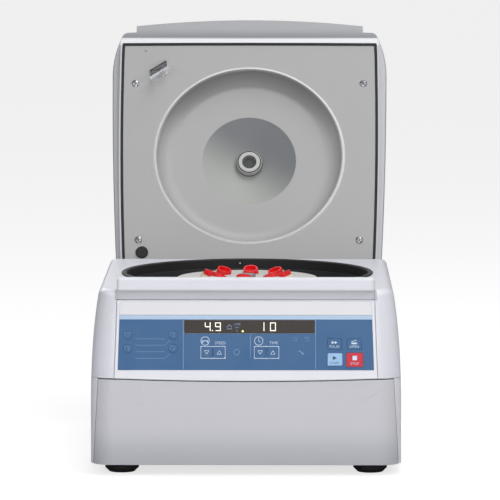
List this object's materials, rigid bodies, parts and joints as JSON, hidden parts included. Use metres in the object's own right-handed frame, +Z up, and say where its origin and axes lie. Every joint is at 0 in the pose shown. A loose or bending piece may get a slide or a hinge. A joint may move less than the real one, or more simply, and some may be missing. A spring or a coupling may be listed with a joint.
{
  "type": "laboratory centrifuge",
  "caption": "Bench-top laboratory centrifuge with a hinged lid, a spinning tube rotor in a round chamber, and a sloping front keypad.",
  "frame": {"origin": "on the bench under the middle of the bounding box, with the lid open; the rotor axis is 99 mm in front of it", "axes": "+X to the operator's right when facing the keypad, -Y towards the operator, +Z up"},
  "size_m": [0.376, 0.6106, 0.5215],
  "materials": {
    "white_moulding": "fine satin moulding",
    "white_steel": "powder coat",
    "panel_grey": "satin grey paint",
    "black_rubber": "matt",
    "keypad_blue": "printed film",
    "key_light_blue": "printed film",
    "key_red": "printed film",
    "window_tint": "tinted window",
    "circuit_board": "solder mask",
    "chamber_black": "dark coating",
    "pan_steel": "galvanised sheet",
    "zinc_steel": "zinc plated",
    "bright_steel": "ground",
    "motor_metal": "cast and turned",
    "motor_copper": "enamelled windings",
    "rotor_grey": "satin anodised",
    "tube_clear": "clear plastic",
    "cap_red": "moulded",
    "black_plastic": "fine texture",
    "port_glass": "clear"
  },
  "bodies": {
    "housing": {"base_pan": "pan_steel", "rubber_feet": "black_rubber", "upper_housing": "white_moulding", "lower_front_cover": "white_moulding", "left_side_cover": "white_moulding", "right_side_cover": "white_moulding", "rear_panel": "white_steel", "casing_screws": "zinc_steel", "front_bezel": "white_moulding", "keypad_label": "keypad_blue", "display_window": "window_tint", "control_boards": "circuit_board", "chamber_bowl": "chamber_black", "chamber_gasket": "black_rubber", "guard_ring": "pan_steel", "chamber_posts": "pan_steel", "motor_dampers": "black_rubber", "motor_plate": "pan_steel", "motor_housing": "motor_metal", "motor_stator": "motor_copper", "motor_bearings": "bright_steel", "motor_boot": "black_rubber", "hinge_brackets": "zinc_steel", "lock_body": "black_plastic", "mains_inlet": "black_plastic", "switch_frame": "black_plastic", "fan_frame": "black_plastic", "power_boards": "circuit_board"},
    "rotor": {"motor_shaft": "bright_steel", "motor_armature": "bright_steel", "drive_cone": "bright_steel", "tube_rotor": "rotor_grey", "rotor_nut": "motor_metal", "sample_tubes": "tube_clear", "tube_caps": "cap_red"},
    "lid": {"lid_shell": "white_moulding", "lid_panel": "panel_grey", "lid_gasket": "black_rubber", "port_ring": "black_plastic", "port_window": "port_glass", "lid_screws": "bright_steel", "lid_bumper": "black_rubber", "lid_striker": "bright_steel", "hinge_arms": "zinc_steel", "hinge_pins": "bright_steel"},
    "rocker": {"power_rocker": "black_plastic"},
    "fan_wheel": {"fan_rotor": "black_plastic"},
    "bolt": {"lock_pawl": "bright_steel"},
    "start_key": {"start_key": "key_light_blue"},
    "stop_key": {"stop_key": "key_red"},
    "pulse_key": {"pulse_key": "keypad_blue"},
    "open_key": {"open_key": "keypad_blue"},
    "speed_down_key": {"speed_down_key": "keypad_blue"},
    "speed_up_key": {"speed_up_key": "keypad_blue"},
    "time_down_key": {"time_down_key": "keypad_blue"},
    "time_up_key": {"time_up_key": "keypad_blue"},
    "program_key_1": {"program_key_1": "keypad_blue"},
    "program_key_2": {"program_key_2": "keypad_blue"},
    "program_key_3": {"program_key_3": "keypad_blue"},
    "program_key_4": {"program_key_4": "keypad_blue"}
  },
  "joints": [
    {"name": "lid_hinge", "type": "hinge", "parent": "housing", "child": "lid", "pos_m": [0, 0.083, 0.199], "axis": [1, 0, 0], "range_deg": [0, 117]},
    {"name": "rotor_spin", "type": "hinge", "parent": "housing", "child": "rotor", "pos_m": [0, -0.099, 0.15], "axis": [0, 0, 1], "continuous": true},
    {"name": "rocker_tip", "type": "hinge", "parent": "housing", "child": "rocker", "pos_m": [0.04, 0.099, 0.062], "axis": [1, 0, 0], "range_deg": [0, 16]},
    {"name": "fan_spin", "type": "hinge", "parent": "housing", "child": "fan_wheel", "pos_m": [-0.085, 0.086, 0.066], "axis": [0, 1, 0], "continuous": true},
    {"name": "bolt_slide", "type": "slide", "parent": "housing", "child": "bolt", "axis": [0.5592, 0.829, 0], "range_m": [0, 0.008], "stiffness_N_per_m": 60},
    {"name": "start_key_press", "type": "slide", "parent": "housing", "child": "start_key", "axis": [0, 0.9974, -0.0722], "range_m": [0, 0.0006], "stiffness_N_per_m": 600},
    {"name": "stop_key_press", "type": "slide", "parent": "housing", "child": "stop_key", "axis": [0, 0.9974, -0.0722], "range_m": [0, 0.0006], "stiffness_N_per_m": 600},
    {"name": "pulse_key_press", "type": "slide", "parent": "housing", "child": "pulse_key", "axis": [0, 0.9974, -0.0722], "range_m": [0, 0.0006], "stiffness_N_per_m": 600},
    {"name": "open_key_press", "type": "slide", "parent": "housing", "child": "open_key", "axis": [0, 0.9974, -0.0722], "range_m": [0, 0.0006], "stiffness_N_per_m": 600},
    {"name": "speed_down_key_press", "type": "slide", "parent": "housing", "child": "speed_down_key", "axis": [0, 0.9974, -0.0722], "range_m": [0, 0.0006], "stiffness_N_per_m": 600},
    {"name": "speed_up_key_press", "type": "slide", "parent": "housing", "child": "speed_up_key", "axis": [0, 0.9974, -0.0722], "range_m": [0, 0.0006], "stiffness_N_per_m": 600},
    {"name": "time_down_key_press", "type": "slide", "parent": "housing", "child": "time_down_key", "axis": [0, 0.9974, -0.0722], "range_m": [0, 0.0006], "stiffness_N_per_m": 600},
    {"name": "time_up_key_press", "type": "slide", "parent": "housing", "child": "time_up_key", "axis": [0, 0.9974, -0.0722], "range_m": [0, 0.0006], "stiffness_N_per_m": 600},
    {"name": "program_key_1_press", "type": "slide", "parent": "housing", "child": "program_key_1", "axis": [0, 0.9974, -0.0722], "range_m": [0, 0.0006], "stiffness_N_per_m": 600},
    {"name": "program_key_2_press", "type": "slide", "parent": "housing", "child": "program_key_2", "axis": [0, 0.9974, -0.0722], "range_m": [0, 0.0006], "stiffness_N_per_m": 600},
    {"name": "program_key_3_press", "type": "slide", "parent": "housing", "child": "program_key_3", "axis": [0, 0.9974, -0.0722], "range_m": [0, 0.0006], "stiffness_N_per_m": 600},
    {"name": "program_key_4_press", "type": "slide", "parent": "housing", "child": "program_key_4", "axis": [0, 0.9974, -0.0722], "range_m": [0, 0.0006], "stiffness_N_per_m": 600}
  ]
}
